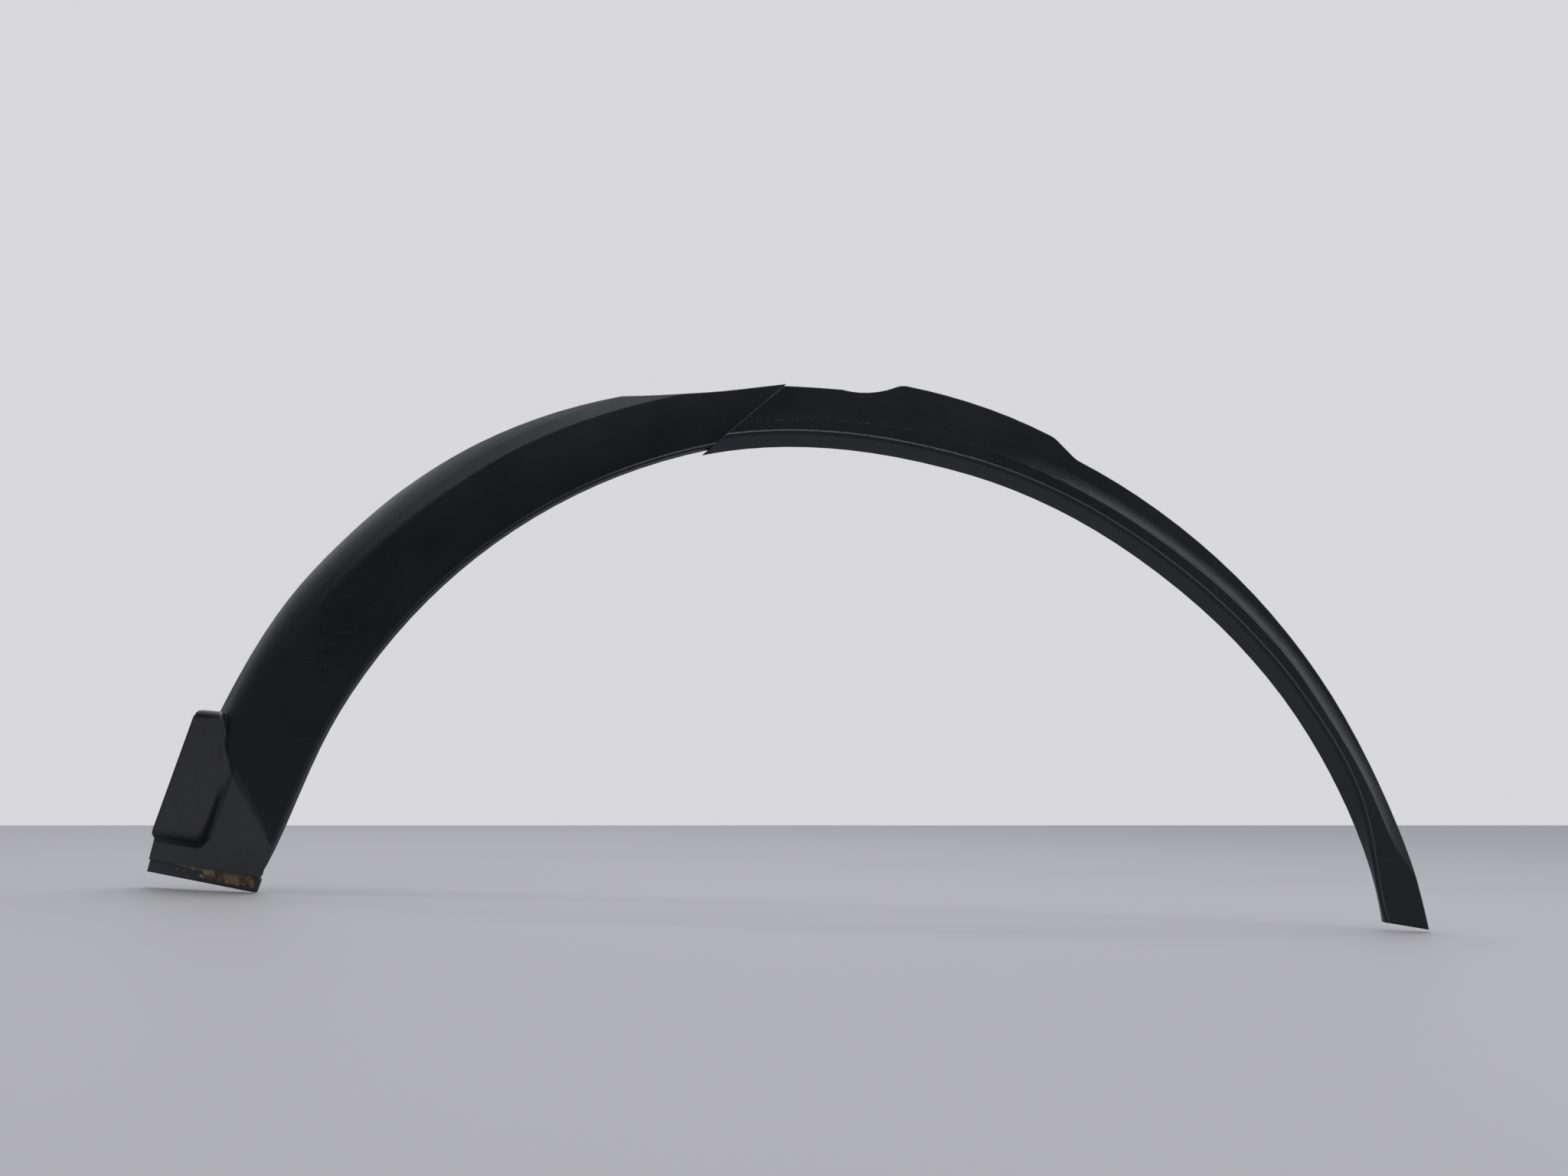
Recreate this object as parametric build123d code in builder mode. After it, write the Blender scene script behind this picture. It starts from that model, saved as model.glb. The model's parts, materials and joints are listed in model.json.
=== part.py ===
"""Wheel-arch trim moulding: one injection-moulded piece, in millimetres.

It is modelled about the wheel's axle line: X to the right as seen from outside, Y into the vehicle,
Z up. A section is drawn as (radius from the axle, depth), the way the mould is cut: an outer form for
the cavity, less a core that sits one wall thickness behind it. At the end the part moves so that its
origin is the clip seat at the crown.
"""
import os
from math import atan2, cos, hypot, radians, sin, tan

from build123d import *

# Wall and edges
WALL = 2.8
BEAD_HEIGHT = 1.2
BEAD_SLOPE = 0.7
RIM_EASE = 0.9
CREASE_ROUND = 0.8
RIGHT_BEAD_WIDTH = 2.4
LEFT_BEAD_WIDTH = 1.8

# Right body: flat crown that runs down into a leg with a cove and a thin blade
FLANGE_DEPTH = 14.0
TAIL_FLANGE_DEPTH = 5.5
TAIL_BOW = 8.0
COVE_DEPTH = 5.0
COVE_RUN = 4.5
COVE_BLEND = 3.9
FADED_ROUND = 60.0
EAR_ROUNDS = (20.0, 20.0, 14.0)
RIGHT_LIMIT = 434.0
RIGHT_STATIONS = range(4, 110, 6)

# Left body: wide crowned face with a rounded shoulder, set back behind the right body
LEFT_SETBACK = 8.0
LEFT_LEDGE = 2.1
FACE_CROWN = 1.2
CROWN_ROUND = 300
LEFT_STATIONS = range(90, 179, 8)

# Diagonal step between the bodies
STEP_TOP = (-26.0, 421.2)
STEP_FOOT = (-84.0, 369.2)
STEP_DRAFT = 16
STEP_REACH = 260

# Foot: a shallow tray on a plane that leans back to the left and down
FOOT_ORIGIN = (-400.4, 9.2, 118.6)
FOOT_LEAN_LEFT = 10.2
FOOT_LEAN_DOWN = 6.4
FOOT_RETURN = 7.0
FOOT_ROUND = 1.2
TAB_ROUND = 4.0
TAB_SIDE_ROUND = 2.5
PAD_LEAN = 2.1
PAD_TOP = 58
PAD_ROUND = 9.0
PAD_TAPER = 52
LIP_SETBACK = 3.0
LIP_WALL = 2.6

# Clip seats on the hidden side: angle, radius, depth of the seat
CROWN_SEAT = (90, 402.0, 15.0)
RIGHT_SEATS = (CROWN_SEAT, (64, 396.0, 15.0), (40, 396.5, 18.0))
LEFT_SEATS = ((117, 411.0, 24.0), (140, 413.0, 24.0))
SEAT_LENGTH = 20.0
SEAT_WIDTH = 16.0
SEAT_PLATE = 2.2
SEAT_SIDE = 1.8
SEAT_HOLE = 9.0
SEAT_ENTRY = 5.6


# Plane of the step's wall, facing the right body
step_run = (STEP_TOP[0] - STEP_FOOT[0], STEP_TOP[1] - STEP_FOOT[1])
step_length = hypot(*step_run)
step_normal = Vector(step_run[1] / step_length, tan(radians(STEP_DRAFT)), -step_run[0] / step_length)
STEP_PLANE = Plane(origin=(STEP_FOOT[0], 1.0, STEP_FOOT[1]), z_dir=step_normal)


def station(angle):
    """Plane through the axle line: x is the radius, y is the depth into the vehicle."""
    across = (cos(radians(angle)), 0, sin(radians(angle)))
    onward = (-sin(radians(angle)), 0, cos(radians(angle)))
    return Plane(origin=(0, 0, 0), x_dir=across, z_dir=onward)


def along(angle, *stops):
    """A size that eases from one (angle, size) stop to the next along the arch."""
    for (first, size), (last, next_size) in zip(stops, stops[1:]):
        if angle < last:
            share = max(0.0, (angle - first) / (last - first))
            return size + (next_size - size) * share * share * (3 - 2 * share)
    return stops[-1][1]


def behind(points, gap):
    """The line that runs a fixed gap behind a skin line drawn from the outer edge to the wheel side."""
    normals = []
    for (r0, y0), (r1, y1) in zip(points, points[1:]):
        length = hypot(r1 - r0, y1 - y0)
        normals.append(((y1 - y0) / length, (r0 - r1) / length))
    pairs = zip(normals[:1] + normals, normals + normals[-1:])
    shifts = [((a + c) / (1 + a * c + b * d), (b + d) / (1 + a * c + b * d)) for (a, b), (c, d) in pairs]
    return [(r + gap * p, y + gap * q) for (r, y), (p, q) in zip(points, shifts)]


def eased(corner, *ends):
    """The two points that cut a sharp corner off, each a fixed way from it towards one end."""
    cuts = []
    for end in ends:
        share = RIM_EASE / hypot(end[0] - corner[0], end[1] - corner[1])
        cuts.append((corner[0] + share * (end[0] - corner[0]), corner[1] + share * (end[1] - corner[1])))
    return cuts


def right_sizes(angle):
    """Sizes of the right body's section at one angle."""
    front = TAIL_BOW - along(angle, (8, 0), (60, TAIL_BOW))
    rear = front + along(angle, (11, TAIL_FLANGE_DEPTH), (26, FLANGE_DEPTH))
    flange = along(angle, (8, 381.4), (20, 383.2), (56, 374.8), (74, 375.2), (106, 382.5))
    ledge = flange + along(angle, (12, 1.4), (21, 8.4))
    crease = along(angle, (8, 416.0), (17, 399.5), (30, 396.0), (56, 391.0), (104, 397.0))
    cove = along(angle, (11, 0.1), (24, COVE_DEPTH), (48, COVE_DEPTH), (74, 0.1))
    cove_round = min(FADED_ROUND, COVE_BLEND / tan(atan2(cove, COVE_RUN) / 2))
    return front, rear, flange, ledge, crease, cove, cove_round


def right_skin(angle):
    """Outer form of the right body, closed across the back."""
    front, rear, flange, ledge, crease, cove, cove_round = right_sizes(angle)
    face = front + BEAD_HEIGHT
    return [
        (RIGHT_LIMIT, rear),
        (RIGHT_LIMIT, face + cove),
        (crease + COVE_RUN, face + cove),
        (crease, face),
        (ledge + BEAD_SLOPE, face),
        (ledge, front),
        *eased((ledge - RIGHT_BEAD_WIDTH, front), (ledge, front), (flange, rear)),
        (flange, rear),
    ]


def right_hollow(angle, gap):
    """Core of the right body: open at the back and at the outer edge."""
    front, rear, flange, ledge, crease, cove, cove_round = right_sizes(angle)
    face = front + BEAD_HEIGHT
    lean = (flange - ledge + RIGHT_BEAD_WIDTH) / (rear - front)
    skin = [
        (RIGHT_LIMIT + 10, face + cove),
        (crease + COVE_RUN, face + cove),
        (crease, face),
        (ledge - RIGHT_BEAD_WIDTH + lean * BEAD_HEIGHT, face),
        (flange + lean * 12, rear + 12),
    ]
    return [(RIGHT_LIMIT + 10, rear + 12)] + behind(skin, gap)


def left_sizes(angle):
    """Shoulder points, its bulge, crease rounding and wheel-side edge of the left body at one angle."""
    face = LEFT_SETBACK + BEAD_HEIGHT
    crease = along(angle, (92, 427.0), (105, 430.0), (123, 436.5), (142, 441.5), (162, 446.0))
    depth = along(angle, (132, 30.0), (157, 13.0))
    run = along(angle, (132, 35.0), (144, 32.8), (158, 24.0))
    start = tan(radians(along(angle, (132, 20), (157, 6))))
    end = tan(radians(along(angle, (132, 70), (157, 42))))
    bulge = along(angle, (132, 40.0), (157, 26.0))
    run_in = run - (depth - start * run) / (end - start)
    corner = (crease + run_in, face + start * run_in)
    soft = along(angle, (105, 1.0), (125, 4.0), (142, 14.0))
    flange = along(angle, (152, 385.2), (164, 384.5), (176, 399.0))
    return (crease + run, face + depth), corner, (crease, face), bulge, soft, flange


def left_skin(angle):
    """Outer form of the left body, closed across the back."""
    edge, corner, crease, bulge, soft, flange = left_sizes(angle)
    ledge = flange + LEFT_LEDGE
    return [
        edge,
        corner,
        crease,
        ((crease[0] + ledge) / 2, crease[1] - FACE_CROWN),
        (ledge + BEAD_SLOPE, crease[1]),
        (ledge, LEFT_SETBACK),
        *eased((ledge - LEFT_BEAD_WIDTH, LEFT_SETBACK), (ledge, LEFT_SETBACK), (flange, FLANGE_DEPTH)),
        (flange, FLANGE_DEPTH),
    ]


def left_hollow(angle, gap):
    """Core of the left body: open at the back."""
    edge, corner, crease, bulge, soft, flange = left_sizes(angle)
    ledge = flange + LEFT_LEDGE
    reach = 12 / hypot(edge[0] - corner[0], edge[1] - corner[1])
    skin = [
        (edge[0] + reach * (edge[0] - corner[0]), edge[1] + reach * (edge[1] - corner[1])),
        corner,
        crease,
        ((crease[0] + ledge) / 2, crease[1] - FACE_CROWN),
        (ledge - LEFT_BEAD_WIDTH, crease[1]),
        (flange, FLANGE_DEPTH + 12),
    ]
    return behind(skin, gap)


def right_core(gap):
    """Solid core of the right body."""
    with BuildPart() as core:
        for angle in RIGHT_STATIONS:
            cove_round = right_sizes(angle)[-1]
            with BuildSketch(station(angle)):
                with BuildLine():
                    rounds = (0, 0, cove_round + gap, 0, 0, 0)
                    FilletPolyline(*right_hollow(angle, gap), radius=rounds, close=True)
                make_face()
        loft()
        split(bisect_by=STEP_PLANE.offset(gap), keep=Keep.TOP)
    return core.part


def left_core(gap):
    """Solid core of the left body."""
    with BuildPart() as core:
        for angle in LEFT_STATIONS:
            bulge, soft = left_sizes(angle)[3:5]
            with BuildSketch(station(angle)):
                with BuildLine():
                    rounds = (0, bulge - gap, max(0.6, soft - gap), CROWN_ROUND, 0, 0)
                    FilletPolyline(*left_hollow(angle, gap), radius=rounds, close=True)
                make_face()
        loft()
        with BuildSketch(STEP_PLANE):
            Rectangle(STEP_REACH, STEP_REACH)
        extrude(amount=STEP_REACH, mode=Mode.SUBTRACT)
    return core.part


def pad(gap):
    """Raised pad on the foot, a gap behind its outer surface."""
    with BuildPart() as raised:
        with BuildSketch(FOOT_PLANE.offset(-gap)) as base:
            Polygon(*PAD_OUTLINE, align=None)
            fillet(base.vertices().sort_by(Axis.Y)[0], PAD_ROUND)
        extrude(amount=6, taper=PAD_TAPER)
        split(bisect_by=PAD_PLANE.offset(-gap), keep=Keep.BOTTOM)
    return raised.part


# Outlines are drawn as seen from outside, on a plane behind the part, and cut forward through it
BACK_PLANE = Plane.XZ.offset(-60)
CUT_LENGTH = 120

# Front-view trim of the right body: tail end, blade edge, sloped ear end, ear top, notch, crown
with BuildSketch(BACK_PLANE) as right_outline:
    with BuildLine():
        blade = ThreePointArc((404.5, 54.5), (352.7, 203.6), (181.1, 368.1))
        ear_end = Line(blade @ 1, (166.2, 383.9))
        ear_top = ThreePointArc(ear_end @ 1, (110.0, 408.2), (58.1, 422.0))
        notch = Spline(ear_top @ 1, (49.4, 418.6), (40.5, 416.7), (15.9, 418.5))
        crown = ThreePointArc(notch @ 1, (-5.1, 420.1), STEP_TOP)
        Polyline(crown @ 1, (-70, 424), (-110, 340), (330, 40), (375.6, 58.4), blade @ 0)
    make_face()
    for corner, radius in zip((blade @ 1, ear_end @ 1, ear_top @ 1), EAR_ROUNDS):
        fillet(right_outline.vertices().sort_by_distance(corner)[0], radius)

# Front-view trim of the left body: along the crown, then down the shoulder's rear edge
with BuildSketch(BACK_PLANE) as left_outline:
    with BuildLine():
        top = Spline((10, 427.5), (-33.4, 424.4), (-70, 420.0), (-107, 417.6), (-146.5, 417.2))
        shoulder = ThreePointArc(top @ 1, (-271.6, 374.2), (-396.4, 273.5))
        Polyline(shoulder @ 1, (-600, 300), (-600, 0), (10, 0), top @ 0)
    make_face()

# The foot's plane and its outlines, in the plane's own axes
FOOT_X = (1, -tan(radians(FOOT_LEAN_LEFT)), 0)
FOOT_FACING = (-tan(radians(FOOT_LEAN_LEFT)), -1, -tan(radians(FOOT_LEAN_DOWN)))
FOOT_PLANE = Plane(origin=FOOT_ORIGIN, x_dir=FOOT_X, z_dir=FOOT_FACING)
FOOT_FRONT = Axis(FOOT_ORIGIN, FOOT_FACING)
PAD_PLANE = Plane(FOOT_PLANE.location * Location((0, PAD_TOP, 0), (-PAD_LEAN, 0, 0)))
TAB_SIDE = ((-24.1, 60.3), (-21.8, 52.5), (-16.7, 29.8), (-12.6, 17.4))
TAB_EDGE = ((-81.6, -45.7), (-75.2, -22.5), (-44.5, 61.6))
FOOT_OUTLINE = (*TAB_EDGE, *TAB_SIDE, (17.5, -24.0), (9.0, -54.8))
FOOT_CUT = ((-130, 63), (-20, 62), (-10, 30), (-3, 18), (60, -62), (60, -110), (-130, -110))
BELOW_FOOT = ((-130, -40.8), (60, -60.0), (60, -150), (-130, -150))
PAD_OUTLINE = ((-96, -28.5), (-31.5, -34.5), (-8, 25), (-12, 72), (-55, 72))
LIP_OUTLINE = ((-85.0, -55.2), (6.2, -66.1), (9.7, -57.4), (8.5, -53.5), (-79.5, -44.3), (-82.6, -46.8))

right_hollow_form = right_core(WALL)

with BuildPart() as right_body:
    for angle in RIGHT_STATIONS:
        cove_round = right_sizes(angle)[-1]
        with BuildSketch(station(angle)):
            with BuildLine():
                rounds = (0, 0, cove_round, CREASE_ROUND, 0, 0, 0, 0, 0)
                FilletPolyline(*right_skin(angle), radius=rounds, close=True)
            make_face()
    loft()
    split(bisect_by=STEP_PLANE, keep=Keep.TOP)
    add(right_hollow_form, mode=Mode.SUBTRACT)
    extrude(right_outline.sketch, amount=CUT_LENGTH, mode=Mode.INTERSECT)

# The left core stops one wall behind the foot's surface and one wall above its lower edge
with BuildPart() as left_hollow_form:
    add(left_core(WALL))
    with BuildSketch(FOOT_PLANE.offset(-WALL)):
        Polygon(*FOOT_CUT, align=None)
    extrude(amount=80, mode=Mode.SUBTRACT)
    with BuildSketch(FOOT_PLANE.offset(-80)):
        Polygon(*BELOW_FOOT, align=None)
        offset(amount=WALL)
    extrude(amount=160, mode=Mode.SUBTRACT)

# Foot: tray with rounded edges and a raised pad
with BuildPart() as foot:
    with BuildSketch(FOOT_PLANE):
        Polygon(*FOOT_OUTLINE, align=None)
    extrude(amount=-FOOT_RETURN)
    rim = foot.faces().sort_by(FOOT_FRONT)[-1].edges()
    fillet(rim.sort_by(Axis.Z)[-1], TAB_ROUND)
    rim = foot.faces().sort_by(FOOT_FRONT)[-1].edges()
    fillet(rim.sort_by_distance(FOOT_PLANE.from_local_coords((-19, 40)))[:3], TAB_SIDE_ROUND)
    rim = foot.faces().sort_by(FOOT_FRONT)[-1].edges()
    fillet(rim.sort_by(Axis.X)[:2], FOOT_ROUND)

with BuildPart() as foot_pad:
    add(pad(0))
    with BuildSketch(FOOT_PLANE.offset(-40)):
        Polygon(*FOOT_OUTLINE, align=None)
    extrude(amount=80, mode=Mode.INTERSECT)

with BuildPart() as foot_hollow:
    add(pad(WALL))
    with BuildSketch(FOOT_PLANE.offset(-WALL)):
        Polygon(*FOOT_OUTLINE, align=None)
    extrude(amount=-30)
    with BuildSketch(FOOT_PLANE.offset(-40)):
        Polygon(*FOOT_OUTLINE, align=None)
        offset(amount=-WALL)
    extrude(amount=80, mode=Mode.INTERSECT)

with BuildPart() as left_body:
    for angle in LEFT_STATIONS:
        bulge, soft = left_sizes(angle)[3:5]
        with BuildSketch(station(angle)):
            with BuildLine():
                rounds = (0, bulge, soft, CROWN_ROUND, 0, 0, 0, 0, 0)
                FilletPolyline(*left_skin(angle), radius=rounds, close=True)
            make_face()
    loft()
    with BuildSketch(STEP_PLANE):
        Rectangle(STEP_REACH, STEP_REACH)
    extrude(amount=STEP_REACH, mode=Mode.SUBTRACT)
    with BuildSketch(FOOT_PLANE):
        Polygon(*FOOT_CUT, align=None)
    extrude(amount=80, mode=Mode.SUBTRACT)
    with BuildSketch(FOOT_PLANE.offset(-80)):
        Polygon(*BELOW_FOOT, align=None)
    extrude(amount=160, mode=Mode.SUBTRACT)
    add(foot.part)
    add(foot_pad.part)
    add(left_hollow_form.part, mode=Mode.SUBTRACT)
    add(foot_hollow.part, mode=Mode.SUBTRACT)
    with BuildSketch(FOOT_PLANE.offset(-LIP_SETBACK)):
        Polygon(*LIP_OUTLINE, align=None)
    extrude(amount=-LIP_WALL)
    extrude(left_outline.sketch, amount=CUT_LENGTH, mode=Mode.INTERSECT)

# One clip seat: a box open at one end, with a keyhole for a push-in clip
with BuildPart() as clip_seat:
    with Locations((0, 0, -9)):
        Box(SEAT_LENGTH, SEAT_WIDTH, 18)
    with Locations((SEAT_SIDE, 0, -9 - SEAT_PLATE)):
        Box(SEAT_LENGTH, SEAT_WIDTH - 2 * SEAT_SIDE, 18, mode=Mode.SUBTRACT)
    Cylinder(SEAT_HOLE / 2, 10, mode=Mode.SUBTRACT)
    with Locations((SEAT_LENGTH / 2, 0, 0)):
        Box(SEAT_LENGTH, SEAT_ENTRY, 10, mode=Mode.SUBTRACT)


def seat_plane(angle, radius, depth):
    """Plane of a clip seat: x along the arch, z out of the seat towards the vehicle."""
    across = station(angle).x_dir
    return Plane(origin=across * radius + Vector(0, depth, 0), x_dir=station(angle).z_dir, z_dir=(0, 1, 0))


# The seats stand on the hidden side and stop half-way into the wall
with BuildPart() as right_seats:
    with Locations(*[seat_plane(*place) for place in RIGHT_SEATS]):
        add(clip_seat.part)
    add(right_core(WALL / 2), mode=Mode.INTERSECT)

with BuildPart() as left_seats:
    with Locations(*[seat_plane(*place) for place in LEFT_SEATS]):
        add(clip_seat.part)
    add(left_core(WALL / 2), mode=Mode.INTERSECT)

with BuildPart() as molding:
    add(right_body.part)
    add(left_body.part)
    add(right_seats.part)
    add(left_seats.part)

crown = seat_plane(*CROWN_SEAT).origin
arch_molding = molding.part.moved(Location(-crown))
arch_molding.label = "arch_molding"
os.makedirs("parts", exist_ok=True)
export_step(arch_molding, "parts/arch_molding.step")
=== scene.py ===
# %% [markdown]
# # A wheel-arch trim in black grained plastic
#
# The object is one moulding: a wide arch with a crowned face on the left, a flat crown, a slim leg with
# a hollow along it on the right, and a padded foot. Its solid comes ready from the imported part, so this
# lesson gives it what a solid has not got: a camera, a stage, light, the plastic's grain and sheen, the
# marks of use, and the crust of old adhesive on the lip under the foot.

# %% Load the part
import json
import math

import bpy
from mathutils import Euler, Matrix, Quaternion, Vector, noise

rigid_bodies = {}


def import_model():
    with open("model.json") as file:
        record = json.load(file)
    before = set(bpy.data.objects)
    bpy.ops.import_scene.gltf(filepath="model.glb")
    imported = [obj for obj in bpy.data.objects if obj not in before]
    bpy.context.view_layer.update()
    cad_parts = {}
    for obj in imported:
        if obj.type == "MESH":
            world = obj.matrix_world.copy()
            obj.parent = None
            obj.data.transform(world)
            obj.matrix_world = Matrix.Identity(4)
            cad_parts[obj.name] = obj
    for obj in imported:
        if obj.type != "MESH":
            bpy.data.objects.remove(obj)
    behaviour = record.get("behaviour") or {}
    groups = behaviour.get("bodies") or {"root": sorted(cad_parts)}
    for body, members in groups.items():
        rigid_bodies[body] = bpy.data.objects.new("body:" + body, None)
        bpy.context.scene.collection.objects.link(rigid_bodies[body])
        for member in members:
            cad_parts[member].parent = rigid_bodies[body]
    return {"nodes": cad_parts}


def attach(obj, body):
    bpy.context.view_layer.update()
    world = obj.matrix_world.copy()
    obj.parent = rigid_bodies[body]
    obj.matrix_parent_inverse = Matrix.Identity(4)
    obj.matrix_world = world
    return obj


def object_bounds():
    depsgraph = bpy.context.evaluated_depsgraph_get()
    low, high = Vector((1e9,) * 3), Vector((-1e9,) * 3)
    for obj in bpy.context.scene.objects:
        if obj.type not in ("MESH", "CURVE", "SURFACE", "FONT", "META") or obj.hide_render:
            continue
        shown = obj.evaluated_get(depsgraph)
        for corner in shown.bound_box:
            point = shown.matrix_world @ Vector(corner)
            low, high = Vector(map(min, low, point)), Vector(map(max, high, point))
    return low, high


for leftover in list(bpy.data.objects):
    bpy.data.objects.remove(leftover)

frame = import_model()
cad_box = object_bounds()
molding = frame["nodes"]["arch_molding"]
scene = bpy.context.scene
scene.view_settings.view_transform = "Standard"
print("loaded", molding.name, "with", len(molding.data.polygons), "faces")

# %% [markdown]
# ## The camera
#
# The arch is seen from low down, from in front and a little right of its middle, with the lens tipped up
# at it. A camera could be aimed with a constraint, but a place, a direction and a small roll say the same
# in three values that never change.

# %% Camera
CAMERA_PLACE = (0.0297, -0.8067, -0.2566)
LOOKING = Vector((-0.0649, 0.9851, 0.1591))
ROLL = math.radians(1.39)
LENS = 26.37
SENSOR_WIDTH = 36.0

camera_data = bpy.data.cameras.new("photo_camera")
camera_data.sensor_fit = "HORIZONTAL"
camera_data.sensor_width = SENSOR_WIDTH
camera_data.lens = LENS
camera_data.clip_start = 0.01

camera = bpy.data.objects.new("photo_camera", camera_data)
camera.location = CAMERA_PLACE
camera.rotation_mode = "QUATERNION"
camera.rotation_quaternion = LOOKING.to_track_quat("-Z", "Y") @ Quaternion((0, 0, 1), ROLL)
scene.collection.objects.link(camera)
scene.camera = camera
print("camera at", CAMERA_PLACE, "with a lens of", LENS, "mm")

# %% [markdown]
# ## The floor
#
# A plain pale sheet lies just under the two ends of the arch. It stops behind it, so that the background
# starts at a level line. The camera has a roll, so a far edge along X would slope in the picture, and the
# sheet is turned about Z until that edge looks level. It is stage, not object.

# %% Floor
FLOOR_GAP = 0.0004
FLOOR_TURN = math.radians(32.2)
FLOOR_SIZE = (14.0, 8.0)
FAR_EDGE = (0.474, 1.654)

floor_level = cad_box[0][2] - FLOOR_GAP
toward_viewer = Vector((math.sin(FLOOR_TURN), -math.cos(FLOOR_TURN), 0))

bpy.ops.mesh.primitive_plane_add(size=1.0)
floor = bpy.context.object
floor.name = "floor"
floor.scale = (*FLOOR_SIZE, 1.0)
floor.rotation_euler.z = FLOOR_TURN
floor.location = Vector((*FAR_EDGE, floor_level)) + toward_viewer * FLOOR_SIZE[1] / 2
print("floor at", round(floor_level, 4))

# %% [markdown]
# ## Helpers for light and finishes
#
# Light and finishes are small trees of nodes. They could be wired by hand in the shader editor, but a
# script can be read from top to bottom. These helpers keep each step to a line or two: they add a node,
# ease a value between two others, put two values together, and blend two colours.

# %% Node helpers
def node(tree, kind, links=None, **settings):
    """Adds a node. Settings are properties or input values; links maps an input to another node's output."""
    made = tree.nodes.new(kind)
    for name, value in settings.items():
        if hasattr(made, name):
            setattr(made, name, value)
        else:
            made.inputs[name.replace("_", " ")].default_value = value
    for name, output in (links or {}).items():
        tree.links.new(output, made.inputs[name])
    return made


def fade(tree, value, start, end, low=0.0, high=1.0):
    """Eases from low to high as a value goes from start to end, and holds beyond them."""
    made = node(
        tree, "ShaderNodeMapRange", {"Value": value},
        interpolation_type="SMOOTHSTEP", From_Min=start, From_Max=end, To_Min=low, To_Max=high,
    )
    return made.outputs["Result"]


def combine(tree, operation, first, second):
    """Two values, or a value and a number, put together by one operation."""
    made = node(tree, "ShaderNodeMath", {0: first}, operation=operation)
    if isinstance(second, (int, float)):
        made.inputs[1].default_value = second
    else:
        tree.links.new(second, made.inputs[1])
    return made.outputs[0]


def blend(tree, share, first, second):
    """The first colour where share is zero, the second where it is one. The first may be a node's output."""
    made = node(tree, "ShaderNodeMix", {"Factor": share}, data_type="RGBA")
    made.inputs["B"].default_value = (*second, 1)
    if isinstance(first, tuple):
        made.inputs["A"].default_value = (*first, 1)
    else:
        tree.links.new(first, made.inputs["A"])
    return made.outputs["Result"]


print("helpers ready")

# %% [markdown]
# The floor's paint is matte and pale. Reflections meet a darker, bluer floor than the eye does, because
# close by a real floor lies in the object's own shade. A Light Path node tells the two kinds of ray apart.

# %% Floor paint
FLOOR_SEEN = (0.295, 0.288, 0.296)
FLOOR_REFLECTED = (0.208, 0.212, 0.240)
FLOOR_ROUGHNESS = 0.65

floor_paint = bpy.data.materials.new("floor_paint")
floor_paint.use_nodes = True
paint = floor_paint.node_tree
floor_shader = paint.nodes["Principled BSDF"]
floor_shader.inputs["Roughness"].default_value = FLOOR_ROUGHNESS
in_reflections = node(paint, "ShaderNodeLightPath").outputs["Is Glossy Ray"]
floor_colour = blend(paint, in_reflections, FLOOR_SEEN, FLOOR_REFLECTED)
paint.links.new(floor_colour, floor_shader.inputs["Base Color"])
floor.data.materials.append(floor_paint)
print("floor paint", FLOOR_SEEN)

# %% [markdown]
# ## Light
#
# Black plastic shows little of its own colour: what you see is mostly what it reflects. So the light comes
# by direction: bright above, behind and on the right, faint on the left, and dark behind the camera. That
# leaves the faces that look at the camera nearly black, and draws the shoulder, the foot and the hollow of
# the right leg in soft greys. Lamps could do it, but light from the world has no hard edges.

# %% Light by direction
world = bpy.data.worlds.new("studio")
scene.world = world
world.use_nodes = True
studio = world.node_tree
studio.nodes.clear()

direction = node(studio, "ShaderNodeTexCoord").outputs["Generated"]
toward = node(studio, "ShaderNodeSeparateXYZ", {0: direction}).outputs
rear = fade(studio, toward["Y"], -0.4, 0.8, 0.02, 0.50)
above = fade(studio, toward["Z"], 0.2, 0.95, 0.0, 0.80)
right_side = fade(studio, toward["X"], 0.20, 0.95, 0.0, 1.00)
left_side = fade(studio, toward["X"], -0.55, -0.95, 0.0, 0.12)

brightness = rear
for glow in (above, right_side, left_side):
    brightness = combine(studio, "ADD", brightness, glow)
print("light from four directions")

# %% [markdown]
# The camera sees a plain pale backdrop instead of that light. A Light Path node tells the two apart, and
# everything but the camera's own rays still meets the light.

# %% Pale background
LIGHT_TINT = (0.92, 0.94, 1.0)
PALE = (0.69, 0.685, 0.72)

soft_light = node(studio, "ShaderNodeBackground", {"Strength": brightness}, Color=(*LIGHT_TINT, 1))
backdrop = node(studio, "ShaderNodeBackground", Color=(*PALE, 1))
camera_ray = node(studio, "ShaderNodeLightPath").outputs["Is Camera Ray"]
pick = node(
    studio, "ShaderNodeMixShader",
    {"Fac": camera_ray, 1: soft_light.outputs[0], 2: backdrop.outputs[0]},
)
node(studio, "ShaderNodeOutputWorld", {"Surface": pick.outputs[0]})
print("background", PALE)

# %% [markdown]
# One broad lamp hangs overhead, like a panel of light. The world's light comes from so many sides that its
# shadow is very soft, and the lamp gives the two ends of the arch a firmer one on the floor.

# %% Overhead lamp
LAMP_SIZE = (1.7, 0.7)
LAMP_PLACE = (-0.1, 0.05, 1.5)
LAMP_POWER = 25.0
LAMP_TILT = math.radians(-6)
LAMP_TINT = (0.95, 0.97, 1.0)

lamp_data = bpy.data.lights.new("overhead", "AREA")
lamp_data.shape = "RECTANGLE"
lamp_data.size, lamp_data.size_y = LAMP_SIZE
lamp_data.energy = LAMP_POWER
lamp_data.color = LAMP_TINT
lamp = bpy.data.objects.new("overhead", lamp_data)
lamp.location = LAMP_PLACE
lamp.rotation_euler = Euler((LAMP_TILT, 0, 0))
scene.collection.objects.link(lamp)
print("lamp of", LAMP_POWER, "W")

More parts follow.
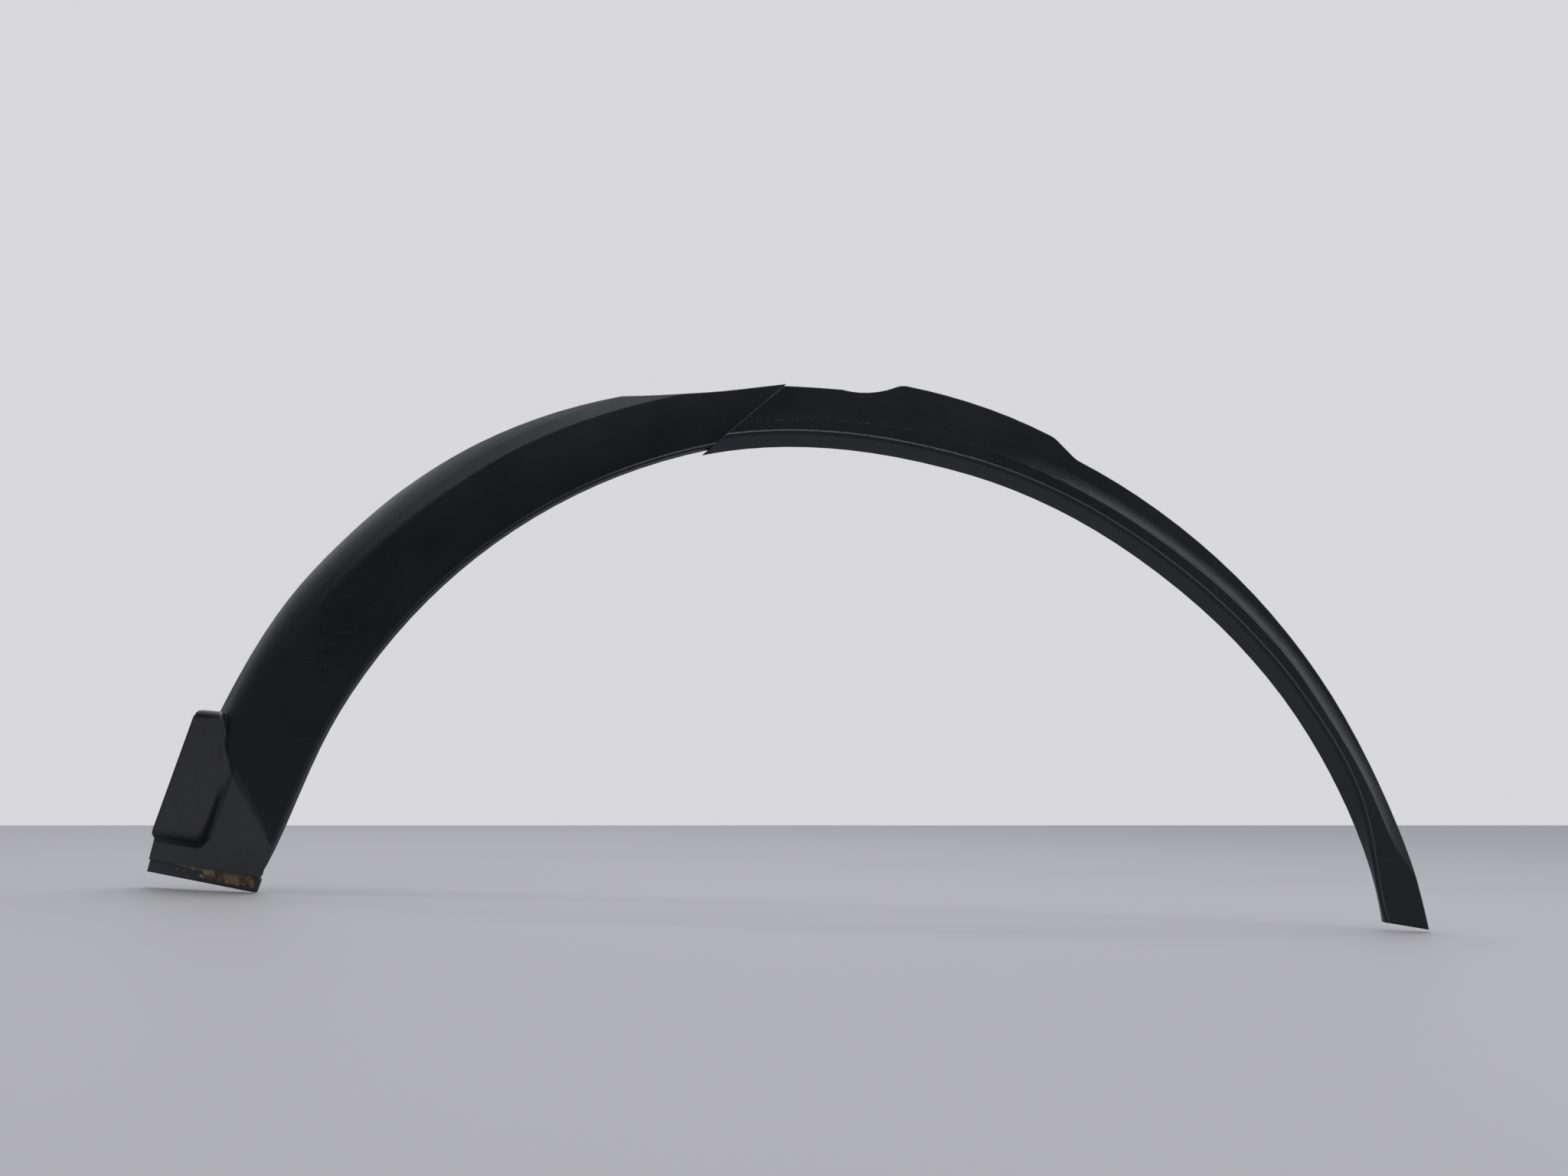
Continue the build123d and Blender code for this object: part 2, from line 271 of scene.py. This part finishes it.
# %% [markdown]
# ## The plastic
#
# The moulding is black polypropylene with a fine grain cut into the tool. Its look has four parts: a grain
# too small to see one pit at a time, a sheen that wanders a little over large areas, softened edges, and
# marks of use. Photographs of plastic could be wrapped on, but noise made from the place on the part has
# no seams and holds at any distance. Two more helpers serve all of them.

# %% Start the plastic
plastic = bpy.data.materials.new("black_grained_plastic")
plastic.use_nodes = True
skin = plastic.node_tree
skin.nodes.clear()
where = node(skin, "ShaderNodeTexCoord").outputs
place = where["Object"]


def cloud(tree, spot, scale, detail, roughness=0.5):
    """Cloudy noise from 0 to 1, with about as many lumps in a metre as its scale."""
    made = node(tree, "ShaderNodeTexNoise", {"Vector": spot}, Scale=scale, Detail=detail, Roughness=roughness)
    return made.outputs["Fac"]


def all_of(first, *others):
    """A share that is one only where every share given is one."""
    for other in others:
        first = combine(skin, "MULTIPLY", first, other)
    return first


print("material", plastic.name)

# %% [markdown]
# The grain is a bump of two sizes: a fine noise and small soft cells, about a millimetre apart. Edges on
# the solid are sharp, or cut off flat. A Bevel node bends the shading where two faces meet, so the rim and
# the step catch a thin line of light as a moulded edge does, and the mesh stays as it is.

# %% Grain and edges
GRAIN_PITCH = 0.0012
GRAIN_DEPTH = 0.00012
GRAIN_STRENGTH = 0.35
LUMPS_PER_PIT = 1.8
EDGE_ROUND = 0.0010

fine = cloud(skin, place, LUMPS_PER_PIT / GRAIN_PITCH, 3.0, 0.6)
pits = node(
    skin, "ShaderNodeTexVoronoi", {"Vector": place},
    feature="SMOOTH_F1", Scale=1.0 / GRAIN_PITCH, Smoothness=0.6,
)
grain = combine(skin, "ADD", fine, pits.outputs["Distance"])
soft_edges = node(skin, "ShaderNodeBevel", samples=4, Radius=EDGE_ROUND).outputs[0]
grain_bump = node(
    skin, "ShaderNodeBump", {"Height": grain, "Normal": soft_edges},
    Strength=GRAIN_STRENGTH, Distance=GRAIN_DEPTH,
)
print("grain pits about", GRAIN_PITCH * 1000, "mm apart")

# %% [markdown]
# Handling and old polish leave the sheen uneven. One cloudy noise moves the roughness and the tone
# together, so that a duller patch is also a little paler, as rubbed plastic is. Dust settles where the
# surface faces up, and a finer noise breaks it up.

# %% Sheen, tone and dust
SHEEN = (0.34, 0.44)
BLACK = (0.0066, 0.0070, 0.0096)
DULL_BLACK = (0.0112, 0.0117, 0.0150)
DUST = (0.036, 0.035, 0.034)

cloudy = cloud(skin, place, 14.0, 6.0, 0.62)
specks = cloud(skin, place, 260.0, 5.0, 0.7)
facing = node(skin, "ShaderNodeSeparateXYZ", {0: where["Normal"]}).outputs

sheen = fade(skin, cloudy, 0.3, 0.7, *SHEEN)
tone = blend(skin, cloudy, BLACK, DULL_BLACK)
dust = all_of(fade(skin, facing["Z"], 0.25, 0.9), fade(skin, specks, 0.42, 0.68, 0.1, 0.5))
dusty = blend(skin, dust, tone, DUST)
print("sheen", SHEEN, "and dust on faces that look up")

# %% [markdown]
# Small dark spots run in a row down the wide left face, with a few short nicks beside them. They are flat
# stains, so they belong to the finish and not to the mesh. Each is a soft disc on the face, given by its
# place across and up, its radius and its flatness: a nick is a disc pressed flat.

# %% Spots and nicks
SPOTS = (
    (-0.3545, -0.1499, 0.0022, 1.0),
    (-0.3568, -0.1615, 0.0024, 1.0),
    (-0.3563, -0.1648, 0.0016, 1.0),
    (-0.3516, -0.1786, 0.0026, 1.0),
    (-0.3528, -0.1926, 0.0024, 1.0),
    (-0.3527, -0.1993, 0.0020, 1.0),
    (-0.3545, -0.2175, 0.0026, 2.0),
    (-0.3266, -0.1630, 0.0048, 7.0),
    (-0.3408, -0.1669, 0.0040, 4.0),
    (-0.3223, -0.1436, 0.0026, 3.0),
)
STAIN = (0.0012, 0.0012, 0.0013)

stains = None
for across, height, radius, flatness in SPOTS:
    around = node(
        skin, "ShaderNodeMapping", {"Vector": place}, vector_type="TEXTURE",
        Location=(across, 0, height), Scale=(radius, 1, radius / flatness),
    )
    on_face = node(skin, "ShaderNodeVectorMath", {0: around.outputs[0]}, operation="MULTIPLY")
    on_face.inputs[1].default_value = (1, 0, 1)
    distance = node(skin, "ShaderNodeVectorMath", {0: on_face.outputs[0]}, operation="LENGTH")
    spot = fade(skin, distance.outputs["Value"], 1.0, 0.35)
    stains = spot if stains is None else combine(skin, "MAXIMUM", stains, spot)

front_only = fade(skin, facing["Y"], -0.3, -0.7)
spotted = blend(skin, all_of(stains, front_only), dusty, STAIN)
print(len(SPOTS), "spots and nicks")

# %% [markdown]
# Fine scuffs cross the front where it has been wiped and stacked. A noise pulled out long in one direction
# gives a thin streak, and a cloudy noise keeps the streaks to a few patches. A scuff is duller and slightly
# paler than the plastic round it.

# %% Scuffs
SCUFF_TURN = math.radians(38)
SCUFF_STRETCH = (30, 30, 700)
SCUFF = (0.0190, 0.0192, 0.0215)
SCUFF_DULLING = 0.10

wiped = node(
    skin, "ShaderNodeMapping", {"Vector": place},
    Rotation=(0, SCUFF_TURN, 0), Scale=SCUFF_STRETCH,
)
streaks = cloud(skin, wiped.outputs[0], 1.0, 2.0)
patches = cloud(skin, place, 22.0, 2.0)
scuffs = all_of(fade(skin, streaks, 0.62, 0.72), fade(skin, patches, 0.52, 0.66))
scuffed = blend(skin, scuffs, spotted, SCUFF)
scuffed_sheen = combine(skin, "ADD", sheen, combine(skin, "MULTIPLY", scuffs, SCUFF_DULLING))
print("scuffs at", round(math.degrees(SCUFF_TURN)), "degrees")

# %% [markdown]
# The foot is a shallow tray on a plane of its own, which leans back to the left and down. Later steps need
# places on it, so its axes come first: along the lower edge, up the tab, and out of the face. A Mapping
# node of the texture kind turns any spot of the part into those axes.

# %% The foot's own axes
FOOT_ORIGIN = Vector((-0.4004, -0.0058, -0.2834))
LEAN_LEFT = math.tan(math.radians(10.2))
LEAN_DOWN = math.tan(math.radians(6.4))

foot_along = Vector((1, -LEAN_LEFT, 0)).normalized()
foot_out = Vector((-LEAN_LEFT, -1, -LEAN_DOWN)).normalized()
foot_up = foot_out.cross(foot_along)
foot_axes = Matrix((foot_along, foot_up, foot_out)).transposed()

on_foot = node(
    skin, "ShaderNodeMapping", {"Vector": place}, vector_type="TEXTURE",
    Location=FOOT_ORIGIN, Rotation=foot_axes.to_euler(),
)
foot_spot = node(skin, "ShaderNodeSeparateXYZ", {0: on_foot.outputs[0]}).outputs
foot_x = foot_spot["X"]
foot_y = foot_spot["Y"]
foot_z = foot_spot["Z"]
print("foot faces", tuple(round(v, 3) for v in foot_out))

# %% [markdown]
# Straight lines on the foot's plane bound what comes next. Each has a normal along X and Y and an offset,
# so a sum of products gives the distance of any spot from it. The tab's side leans, and a slanted X
# follows it.

# %% Lines on the foot
FOOT_CREASE = (-0.809, -0.588, 0.0)
FOOT_LEFT = (0.94, -0.343, 0.0629)
FOOT_EDGE = (0.100, 1.0, 0.0539)
PAD_SIDE = (-0.93, 0.367, -0.0166)
TAB_SLANT = 0.26


def inside(line):
    """Distance from a line on the foot's plane, above zero on the side its normal points to."""
    along_x, along_y, offset = line
    reached = node(skin, "ShaderNodeMath", {0: foot_x}, operation="MULTIPLY_ADD")
    reached.inputs[1].default_value = along_x
    reached.inputs[2].default_value = offset
    return combine(skin, "ADD", reached.outputs[0], combine(skin, "MULTIPLY", foot_y, along_y))


slanted_x = combine(skin, "ADD", foot_x, combine(skin, "MULTIPLY", foot_y, TAB_SLANT))
beside_tab = fade(skin, slanted_x, -0.0078, -0.0092)
below_tab = all_of(fade(skin, foot_y, 0.019, 0.015), fade(skin, inside(FOOT_CREASE), -0.002, 0.004))
pad_side = all_of(fade(skin, inside(PAD_SIDE), -0.0005, 0.0005), fade(skin, foot_y, 0.030, 0.020))
# The gap over the lip is kept out of the grey below, so it stays dark: painted shade under the foot's edge.
lip_gap_shade = all_of(fade(skin, inside(FOOT_EDGE), -0.0022, -0.0008), fade(skin, foot_z, -0.0015, -0.0022))
print("four lines on the foot")

# %% [markdown]
# The foot sits where road dirt lands, and it is greyer than the arch up to the crease between them. The grey
# is partly dust and partly painted light: the foot's faces lean left and the arch's do not, and paler grey on
# the left-leaning faces stands in for light from the left. So the surface's own direction helps to tell them
# apart. The rolled top of the tab and the foot's left edge are kept out of the grey and stay dark. What faces
# down and the gap over the lip are kept out too, and their darkness is painted shade.

# %% Greyer foot: dust and painted light
FOOT_GREY_DUST_AND_LIGHT = (0.0480, 0.0476, 0.0495)

# Part of this grey is dust and part is painted light from the left; faces that look down stay dark as painted
# shade.
dust_and_light_share = all_of(
    combine(skin, "MAXIMUM", beside_tab, below_tab),
    combine(skin, "MAXIMUM", pad_side, fade(skin, facing["X"], -0.08, -0.15)),
    fade(skin, foot_y, 0.0572, 0.0552),
    fade(skin, inside(FOOT_LEFT), 0.0004, 0.0016),
    fade(skin, facing["Z"], -0.35, -0.20),
    fade(skin, lip_gap_shade, 0.9, 0.1),
    fade(skin, specks, 0.3, 0.7, 0.75, 1.0),
)
greyed = blend(skin, dust_and_light_share, scuffed, FOOT_GREY_DUST_AND_LIGHT)
print("foot greyed", FOOT_GREY_DUST_AND_LIGHT)

# %% [markdown]
# Round the raised pad runs a dark, dull band, wide below it and narrow up its right side, where it dies
# out: it is the pad's rounded edge in shade. The solid's edge is sharp there, so the band's dark colour is
# painted shade. A smooth minimum of two lines turns its corner, and the lower line counts distances shorter,
# so that the band is wider there.

# %% Painted shade round the pad
BAND_BELOW = (0.0400, 0.430, 0.01737)
BAND_RIGHT = (-0.943, 0.333, -0.0190)
BAND_CORNER = 0.010
BAND_SHADE_COLOUR = (0.0012, 0.0012, 0.0015)
BAND_DULLING = 0.45

band_inset = node(
    skin, "ShaderNodeMath", {0: inside(BAND_BELOW), 1: inside(BAND_RIGHT)}, operation="SMOOTH_MIN",
)
band_inset.inputs[2].default_value = BAND_CORNER
across_band = band_inset.outputs[0]
band = all_of(
    front_only,
    fade(skin, foot_y, 0.015, -0.004),
    fade(skin, across_band, -0.0004, 0.0005),
    fade(skin, across_band, 0.0054, 0.0022),
    fade(skin, foot_x, -0.088, -0.040, 0.40, 1.0),
)
# The band's dark colour is painted shade.
shade_banded = blend(skin, band, greyed, BAND_SHADE_COLOUR)
banded_sheen = combine(skin, "ADD", scuffed_sheen, combine(skin, "MULTIPLY", band, BAND_DULLING))
print("dark band round the pad")

# %% [markdown]
# Edges are painted paler and given more shine. The paler colour is a painted highlight, standing in for the
# thin line of light that a rounded moulded edge catches. The Bevel node's softened direction differs from
# the true one only near an edge, and that difference is the mask. Only edges that turn away from the wheel
# get it: they are the bead's outer edge, the step and the shoulder's end.

# %% Painted highlight on edges
AXLE = Vector((0, 0, -0.402))
EDGE_HIGHLIGHT_PAINT = (0.0520, 0.0525, 0.0590)
EDGE_SHINE = 0.08


def dot(first, second):
    """How far two directions agree."""
    made = node(skin, "ShaderNodeVectorMath", {0: first, 1: second}, operation="DOT_PRODUCT")
    return made.outputs["Value"]


true_facing = node(skin, "ShaderNodeNewGeometry").outputs["Normal"]
from_axle = node(skin, "ShaderNodeVectorMath", {0: place}, operation="SUBTRACT")
from_axle.inputs[1].default_value = AXLE
edges = all_of(
    fade(skin, dot(soft_edges, true_facing), 0.997, 0.94),
    fade(skin, dot(from_axle.outputs[0], soft_edges), 0.01, 0.08),
)
# The paler colour on these edges is a painted highlight.
painted_highlight = blend(skin, edges, shade_banded, EDGE_HIGHLIGHT_PAINT)
edge_sheen = combine(skin, "SUBTRACT", banded_sheen, combine(skin, "MULTIPLY", edges, EDGE_SHINE))
print("edges rubbed", EDGE_HIGHLIGHT_PAINT)

# %% [markdown]
# All of it meets in one shader: the colours laid over each other, the sheen as roughness, and the grain as
# a bump on the softened edges. How strongly the plastic reflects comes from one number, its index of
# refraction, which is that of polypropylene. Separate shaders for dirt and plastic could be mixed instead,
# but one shader with layered colours is easier to read.

# %% Put the plastic together
PLASTIC_IOR = 1.49

plastic_shader = node(
    skin, "ShaderNodeBsdfPrincipled",
    {"Base Color": painted_highlight, "Roughness": edge_sheen, "Normal": grain_bump.outputs[0]},
    IOR=PLASTIC_IOR,
)
node(skin, "ShaderNodeOutputMaterial", {"Surface": plastic_shader.outputs[0]})
molding.data.materials.clear()
molding.data.materials.append(plastic)
print("plastic on", molding.name)

# %% [markdown]
# ## Old adhesive on the lip
#
# Under the foot a narrow lip is set back, and a strip of tape was once stuck to it. What is left is a thin
# tan crust with pale ridges: thick at the right, thinning to a few threads along the lip's upper edge. It
# stands a few tenths of a millimetre proud, so paint would not do and it is a mesh of its own: a fine grid
# on the lip, raised by noise and cut away where the crust has gone. First comes how much is left at a spot:
# a body at the right, a thread along the upper edge, and clumps, less what has worn off everywhere.

# %% Crust cover
CRUST_LEFT = -0.072
CRUST_RIGHT = 0.0055
CRUST_DROP = 0.0084
BODY_START = 0.36
BODY_RAMP = 0.24
THREAD_DROP = 0.0020
THREAD_RAMP = 0.2
CLUMPS = (170, 380)
WORN_OFF = 0.26


def crust_cover(x, drop):
    """How much crust is left at one spot of the lip: above zero there is some."""
    share = (x - CRUST_LEFT) / (CRUST_RIGHT - CRUST_LEFT)
    body = min(1.0, max(0.0, (share - BODY_START) / BODY_RAMP)) * (1.0 - (drop / CRUST_DROP) ** 2)
    thread = 0.55 * max(0.0, 1.0 - drop / THREAD_DROP) * min(1.0, share / THREAD_RAMP)
    clumps = noise.fractal(Vector((x * CLUMPS[0], drop * CLUMPS[1], 3.7)), 0.9, 2.0, 5)
    return body * 0.95 + thread + 0.45 * clumps - WORN_OFF


for end in (CRUST_LEFT, CRUST_RIGHT):
    print("cover at", end, "is", round(crust_cover(end, 0.0), 2))

# %% [markdown]
# The grid follows the lip's upper edge. Small ridges run over it, and where there is no crust its points
# sink a little below the lip, so that the crust thins out to nothing at its border.

# %% Crust grid
CRUST_STEP = 0.0004
CRUST_THICKNESS = 0.0004
CRUST_GAP = 0.0008
RIDGES = (900, 1300)
THICKENING = 2.2
SUNK = -0.3

columns = int((CRUST_RIGHT - CRUST_LEFT) / CRUST_STEP)
rows = int(CRUST_DROP / CRUST_STEP)
grid = []
covers = []
for column in range(columns + 1):
    x = CRUST_LEFT + column * CRUST_STEP
    upper_edge = -FOOT_EDGE[0] * x - FOOT_EDGE[2] - CRUST_GAP
    for row in range(rows + 1):
        drop = row * CRUST_STEP
        cover = crust_cover(x, drop)
        ridges = 0.5 + noise.noise(Vector((x * RIDGES[0], drop * RIDGES[1], 1.2)))
        rise = CRUST_THICKNESS * min(1.0, max(SUNK, cover * THICKENING)) * (0.6 + 0.4 * ridges)
        covers.append(cover)
        grid.append((x, upper_edge - drop, rise))
print("grid of", columns, "by", rows)

# %% [markdown]
# A cell of the grid stays where any of its corners has crust, and points that no cell uses are left out.
# A Solidify modifier gives the crust a body that reaches into the lip, so that its mesh is closed.

# %% Crust mesh
LIP_SETBACK = 0.003
CRUST_DEPTH = 0.0003

cells = []
for column in range(columns):
    for row in range(rows):
        first = column * (rows + 1) + row
        corners = (first, first + 1, first + rows + 2, first + rows + 1)
        if max(covers[corner] for corner in corners) > 0:
            cells.append(corners)

used = sorted({corner for corners in cells for corner in corners})
renumbered = {old: new for new, old in enumerate(used)}
points = [grid[old] for old in used]
faces = [[renumbered[corner] for corner in corners] for corners in cells]

crust_mesh = bpy.data.meshes.new("tape_residue")
crust_mesh.from_pydata(points, [], faces)
crust_mesh.transform(Matrix.Translation(FOOT_ORIGIN - LIP_SETBACK * foot_out) @ foot_axes.to_4x4())
for polygon in crust_mesh.polygons:
    polygon.use_smooth = True
crust_mesh.update()

crust = bpy.data.objects.new("tape_residue", crust_mesh)
scene.collection.objects.link(crust)
crust_body = crust.modifiers.new("crust_body", "SOLIDIFY")
crust_body.thickness = CRUST_DEPTH
crust_body.offset = -1.0
print("crust of", len(points), "points and", len(faces), "faces")

# %% [markdown]
# Dried adhesive is no single colour: rusty tan where it was thick, cream on its ridges, grey green where
# dirt has stuck to it. A colour ramp on a clumpy noise gives the run of them, and a fine noise roughens it.

# %% Crust finish
CRUST_COLOURS = (
    (0.34, (0.050, 0.050, 0.038)),
    (0.43, (0.130, 0.090, 0.068)),
    (0.53, (0.235, 0.155, 0.080)),
    (0.66, (0.36, 0.325, 0.225)),
)
CRUST_ROUGHNESS = 0.62
CRUST_IOR = 1.48
GRIT_STRENGTH = 0.4
GRIT_DEPTH = 0.0001

residue = bpy.data.materials.new("dried_adhesive")
residue.use_nodes = True
glue = residue.node_tree
glue.nodes.clear()
glue_place = node(glue, "ShaderNodeTexCoord").outputs["Object"]

ramp = node(glue, "ShaderNodeValToRGB", {"Fac": cloud(glue, glue_place, 170.0, 5.0, 0.62)})
stops = ramp.color_ramp.elements
stops.remove(stops[1])
stops[0].position = CRUST_COLOURS[0][0]
stops[0].color = (*CRUST_COLOURS[0][1], 1)
for position, colour in CRUST_COLOURS[1:]:
    stops.new(position).color = (*colour, 1)

grit = cloud(glue, glue_place, 2600.0, 3.0)
glue_bump = node(glue, "ShaderNodeBump", {"Height": grit}, Strength=GRIT_STRENGTH, Distance=GRIT_DEPTH)
glue_shader = node(
    glue, "ShaderNodeBsdfPrincipled",
    {"Base Color": ramp.outputs["Color"], "Normal": glue_bump.outputs[0]},
    Roughness=CRUST_ROUGHNESS, IOR=CRUST_IOR,
)
node(glue, "ShaderNodeOutputMaterial", {"Surface": glue_shader.outputs[0]})
crust_mesh.materials.append(residue)
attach(crust, "root")
print("crust finished in", len(CRUST_COLOURS), "colours")
